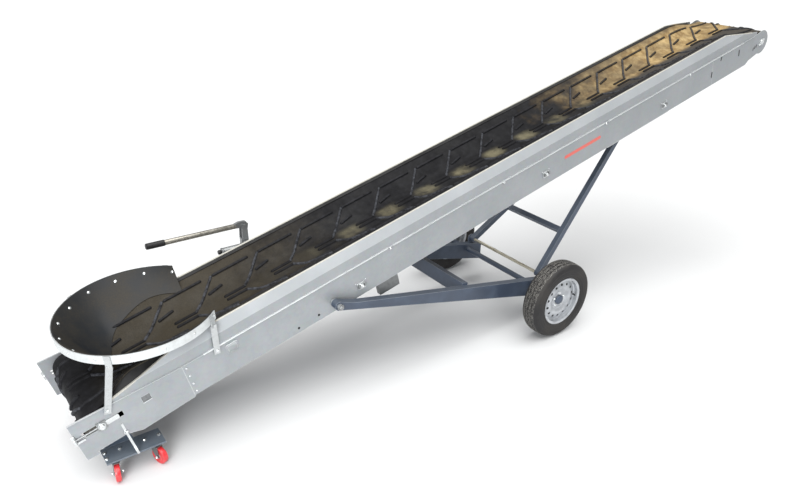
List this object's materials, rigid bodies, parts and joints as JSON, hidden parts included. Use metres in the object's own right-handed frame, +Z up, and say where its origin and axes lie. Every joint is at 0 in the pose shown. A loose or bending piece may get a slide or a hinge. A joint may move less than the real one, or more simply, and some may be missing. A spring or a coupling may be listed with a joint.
{
  "type": "mobile belt conveyor",
  "caption": "Inclined troughed belt conveyor with a rubber hopper, swivel casters at its low end and a two-wheeled folding undercarriage.",
  "frame": {"origin": "middle of the bounding box's underside, on the floor", "axes": "+X towards the discharge end, +Y away from the side with the pictured road wheel in front, +Z up"},
  "size_m": [5.8911, 1.369, 1.9061],
  "materials": {
    "belt_rubber": "matt, dusty",
    "cylinder_paint": "black",
    "drum_steel": "worn steel",
    "galvanised": "light silver grey",
    "hopper_rubber": "matt",
    "red_wheel": "red",
    "rim_silver": "satin silver",
    "slate_paint": "satin slate blue",
    "tyre": "matt",
    "zinc": "zinc plated"
  },
  "bodies": {
    "chassis": {"belt": "belt_rubber", "belt_bed": "galvanised", "caster_plate_far": "slate_paint", "caster_plate_near": "slate_paint", "caster_stays": "zinc", "cross_ties": "galvanised", "head_drum": "drum_steel", "head_panel_far": "galvanised", "head_panel_near": "galvanised", "hopper_band": "zinc", "hopper_rubber": "hopper_rubber", "hopper_straps": "zinc", "lift_barrel": "cylinder_paint", "low_ties": "galvanised", "main_panel_far": "galvanised", "main_panel_near": "galvanised", "pivot_pin_far": "zinc", "pivot_pin_near": "zinc", "prop_track": "zinc", "pump_body": "zinc", "pump_bracket": "zinc", "return_rollers": "zinc", "skirt_far": "galvanised", "skirt_near": "galvanised", "stop_blocks": "slate_paint", "tail_drum": "drum_steel", "tail_panel_far": "galvanised", "tail_panel_near": "galvanised", "tensioner_far": "zinc", "tensioner_near": "zinc"},
    "undercarriage": {"arm_near": "slate_paint", "arm_far": "slate_paint", "cross_tube": "slate_paint", "axle": "slate_paint", "knee_rod": "zinc"},
    "wheel_near": {"tyre_near": "tyre", "rim_near": "rim_silver", "hub_near": "slate_paint"},
    "wheel_far": {"tyre_far": "tyre", "rim_far": "rim_silver", "hub_far": "slate_paint"},
    "prop": {"prop_frame": "slate_paint", "prop_bar": "zinc", "prop_rollers": "zinc"},
    "lift_ram": {"lift_rod": "zinc"},
    "lever": {"pump_lever": "zinc"},
    "swivel_near_tail": {"fork_near_tail": "zinc"},
    "roll_near_tail": {"caster_near_tail": "red_wheel"},
    "swivel_near_front": {"fork_near_front": "zinc"},
    "roll_near_front": {"caster_near_front": "red_wheel"},
    "swivel_far_tail": {"fork_far_tail": "zinc"},
    "roll_far_tail": {"caster_far_tail": "red_wheel"},
    "swivel_far_front": {"fork_far_front": "zinc"},
    "roll_far_front": {"caster_far_front": "red_wheel"}
  },
  "joints": [
    {"name": "raise", "type": "hinge", "parent": "chassis", "child": "undercarriage", "pos_m": [-1.43573, 0, 0.655], "axis": [0, 1, 0], "range_deg": [-8, 6]},
    {"name": "prop_knee", "type": "hinge", "parent": "undercarriage", "child": "prop", "pos_m": [0.30427, 0, 0.345], "axis": [0, -1, 0], "range_deg": [-18.48, 13.99]},
    {"name": "ram_slide", "type": "slide", "parent": "chassis", "child": "lift_ram", "axis": [0.9688, 0, 0.2477], "range_m": [-0.1563, 0.2068]},
    {"name": "lever_stroke", "type": "hinge", "parent": "chassis", "child": "lever", "pos_m": [-1.66073, 0.379, 0.944], "axis": [0, 1, 0], "range_deg": [-5, 55]},
    {"name": "wheel_near_turn", "type": "hinge", "parent": "undercarriage", "child": "wheel_near", "pos_m": [0.22927, -0.612, 0.281], "axis": [0, 1, 0], "continuous": true},
    {"name": "wheel_far_turn", "type": "hinge", "parent": "undercarriage", "child": "wheel_far", "pos_m": [0.22927, 0.612, 0.281], "axis": [0, 1, 0], "continuous": true},
    {"name": "swivel_near_tail_turn", "type": "hinge", "parent": "chassis", "child": "swivel_near_tail", "pos_m": [-2.75073, -0.27, 0.137], "axis": [0, 0, 1], "continuous": true},
    {"name": "roll_near_tail_turn", "type": "hinge", "parent": "swivel_near_tail", "child": "roll_near_tail", "pos_m": [-2.75733, -0.30742, 0.05], "axis": [0.9848, -0.1736, 0], "continuous": true},
    {"name": "swivel_near_front_turn", "type": "hinge", "parent": "chassis", "child": "swivel_near_front", "pos_m": [-2.54673, -0.27, 0.137], "axis": [0, 0, 1], "continuous": true},
    {"name": "roll_near_front_turn", "type": "hinge", "parent": "swivel_near_front", "child": "roll_near_front", "pos_m": [-2.5325, -0.30523, 0.05], "axis": [0.9272, 0.3746, 0], "continuous": true},
    {"name": "swivel_far_tail_turn", "type": "hinge", "parent": "chassis", "child": "swivel_far_tail", "pos_m": [-2.75073, 0.27, 0.137], "axis": [0, 0, 1], "continuous": true},
    {"name": "roll_far_tail_turn", "type": "hinge", "parent": "swivel_far_tail", "child": "roll_far_tail", "pos_m": [-2.77413, 0.24006, 0.05], "axis": [0.788, -0.6157, 0], "continuous": true},
    {"name": "swivel_far_front_turn", "type": "hinge", "parent": "chassis", "child": "swivel_far_front", "pos_m": [-2.54673, 0.27, 0.137], "axis": [0, 0, 1], "continuous": true},
    {"name": "roll_far_front_turn", "type": "hinge", "parent": "swivel_far_front", "child": "roll_far_front", "pos_m": [-2.55202, 0.23237, 0.05], "axis": [0.9903, -0.1392, 0], "continuous": true}
  ],
  "couplings": [
    {"joint": "prop_knee", "follows": "raise", "ratio": 2.2478},
    {"joint": "ram_slide", "follows": "raise", "m_per_rad": -1.445}
  ]
}
